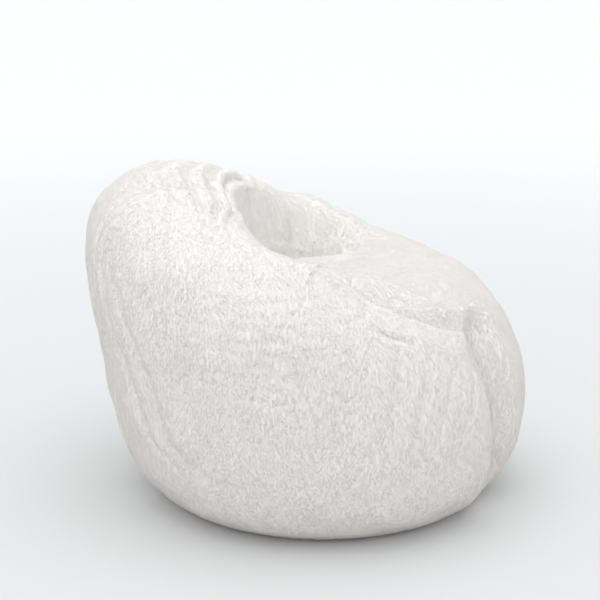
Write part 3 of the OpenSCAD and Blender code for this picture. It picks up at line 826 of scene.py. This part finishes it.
def combed(root, normal):
    """The way the pile lies: down the sides, and outwards over the rim and the seat."""
    flat = np.clip(normal[:, 2:], 0, 1)
    outwards = root * [1, 1, 0] - [0, 0.05, 0]
    return np.array([0, 0, -1]) + flat * (0.6 * unit(outwards) - [0, 0.4, 0])


def pile_on(name, cells, seed):
    """Tufts on the wanted cells, one to 12 square millimetres: each is a closed four-sided flake
    that rises from two root corners over a ridge to its tip, and takes light as the cloth does."""
    draw = np.random.default_rng(seed)
    after = np.roll(bed_points, -1, 1)
    a, b, c, d = bed_points[:-1], after[:-1], after[1:], bed_points[1:]
    area = (np.linalg.norm(np.cross(c - a, d - b), axis=-1) / 2 * cells).ravel().cumsum()
    count = min(int(area[-1] / TUFT_AREA), MOST_TUFTS)
    spot = np.searchsorted(area, (np.arange(count) + 0.5) / count * area[-1])
    row, col = np.unravel_index(spot, cells.shape)
    u, v = draw.random((2, count, 1))
    beside = (col + 1) % len(columns)

    def at(grid):
        """The grid's value at each tuft, between the four corners of its cell."""
        near = mix(grid[row, col], grid[row, beside], u)
        far = mix(grid[row + 1, col], grid[row + 1, beside], u)
        return mix(near, far, v)

    root, normal = at(bed_points), unit(at(bed_normals))
    full = np.clip(at(bed[..., None]) / PILE_DEPTH, 0.15, 1)
    comb = combed(root, normal)
    side = unit(np.cross(normal, comb))
    # the pile lies along the comb but for broad and narrow swirls and each tuft's own turn
    swirl = 0.28 * waves(root, 0.09, seed + 1) + 0.16 * waves(root, 0.025, seed + 2)
    swirl = swirl + 0.3 * draw.normal(size=count)
    way = np.cross(side, normal) * np.cos(swirl)[:, None] + side * np.sin(swirl)[:, None]
    lift = 0.0019 + 0.0003 * np.tanh(waves(root, 0.014, seed + 3, (2, 2, 1)))
    lift = lift + 0.0002 * draw.normal(size=count)
    lift = lift[:, None] * full
    tip = root + TUFT_LENGTH * draw.uniform(0.8, 1.2, (count, 1)) * way + 0.45 * lift * normal
    pull = np.stack([waves(root, 0.013, seed + 4), waves(root, 0.013, seed + 5)], -1)
    tip += 0.0007 * (pull[:, :1] * side + pull[:, 1:] * comb)
    across = unit(np.cross(normal, unit(tip - root)))
    half = TUFT_HALF_WIDTH * draw.uniform(0.8, 1.2, (count, 1))
    foot = root - 0.0006 * normal
    ridge = mix(root, tip, 0.42) + 0.65 * lift * normal
    points = np.stack([foot + half * across, foot - half * across, ridge, tip], 1)
    points[..., 2] = np.maximum(points[..., 2], 0.0004)
    corners = np.array([[0, 1, 2], [0, 2, 3], [2, 1, 3], [0, 3, 1]])
    faces = (np.arange(count)[:, None, None] * 4 + corners).reshape(-1, 3)
    piece = new_piece(name, points.reshape(-1, 3), [faces], white_pile)
    left, right, top = normal + 0.18 * across, normal - 0.18 * across, normal + 0.1 * way
    under = way - 0.3 * normal
    soft = np.stack([
        left, right, normal, left, normal, top, normal, right, top, under, under, under], 1)
    piece.data.normals_split_custom_set(unit(soft).reshape(-1, 3).astype(np.float32))
    strip = np.array([[0.1, 0.02], [0.9, 0.02], [0.5, 0.42], [0.5, 0.98]])[corners.ravel()]
    column = (np.arange(count) % TONES)[:, None, None] * [1, 0]
    places = ((strip + column) / [TONES, 1]).reshape(-1)
    piece.data.uv_layers.new(name="OFBake").data.foreach_set("uv", places.astype(np.float32))
    return piece


cell_a, cell_t, is_right = cell_places(1)
on_side = (cell_t > BASE_SEAM) & (cell_t < RIM)
side_cells = on_side & (cell_a > FRONT_SEAM) & (cell_a < BACK_SEAM)
back_cells = on_side & (cell_a > BACK_SEAM) & ~slot_cells(cell_a, cell_t)
seat_cells = ((cell_t > HOLLOW) | ((cell_a < FRONT_SEAM) & (cell_t > BASE_SEAM))
              | ((cell_a < SEAT_CORNER) & (cell_t > RIM)))
lining_cells = (cell_a > SEAT_CORNER) & (cell_t > RIM) & (cell_t < HOLLOW)
PANELS = [
    ("side_panel_right", side_cells & is_right, (1.15, 0.72), 0.60),
    ("side_panel_left", side_cells & ~is_right, (1.15, 0.72), 0.60),
    ("front_seat_panel", seat_cells, (0.95, 1.05), 0.44),
    ("inner_back_panel", lining_cells, (0.95, 0.30), 0.165),
    ("back_panel_right", back_cells & is_right, (0.20, 0.78), 0.133),
    ("back_panel_left", back_cells & ~is_right, (0.20, 0.78), 0.133),
]
for number, (name, cells, flat, area) in enumerate(PANELS):
    panel = shell(name + "_backing", cells, bed_points, inner_points, backing, poles=True)
    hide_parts(name)
    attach(panel, "chair")
    pile = pile_on(name + "_pile", cells, 100 * number)
    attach(pile, "chair")

# ---- Cover zip ----
# A zip up the middle of the back: two tapes sewn behind the slot, two rows of moulded teeth, a stop
# at each end, and a nickel slider whose pull tab hangs from a pin.

for side in ("right", "left"):
    finish_node("zip_tape_" + side, tape)
    finish_node("zip_teeth_" + side, moulded)
for part in ("zip_bottom_stop", "zip_top_stop", "zip_slider", "zip_pull"):
    finish_node(part, nickel)

# ---- Care label ----
# A blank satin ribbon, sewn into the base seam at the back and lying up against the pile.

satin = Finish("satin ribbon", (0.93, 0.93, 0.92), Roughness=0.45, Sheen_Weight=0.2)
picks = satin.noise(1500, 1, (1, 1, 8))
satin.shade(picks, 0.93, 1.03)
satin.bump(picks, 0.2, 0.0002)


def ribbon():
    """Up the side from the base seam, bowed outwards by half a wave and rippled across by one."""
    w, t = np.meshgrid(np.linspace(193, 197.4, 16), np.linspace(2.26, 2.9, 28))
    share = (t - t.min()) / np.ptp(t)
    bow = 0.0006 + 0.0022 * np.sin(np.pi * 0.6 * share) + 0.0005 * np.sin(2.2 * w + 5 * share)
    front, back = place(w, t, -bow - 0.0007), place(w, t, -bow)
    cells = np.ones((t.shape[0] - 1, t.shape[1]), bool)
    cells[:, -1] = False
    return shell("care_label_ribbon", cells, front, back, satin)


label = ribbon()
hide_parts("care_label")
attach(label, "chair")
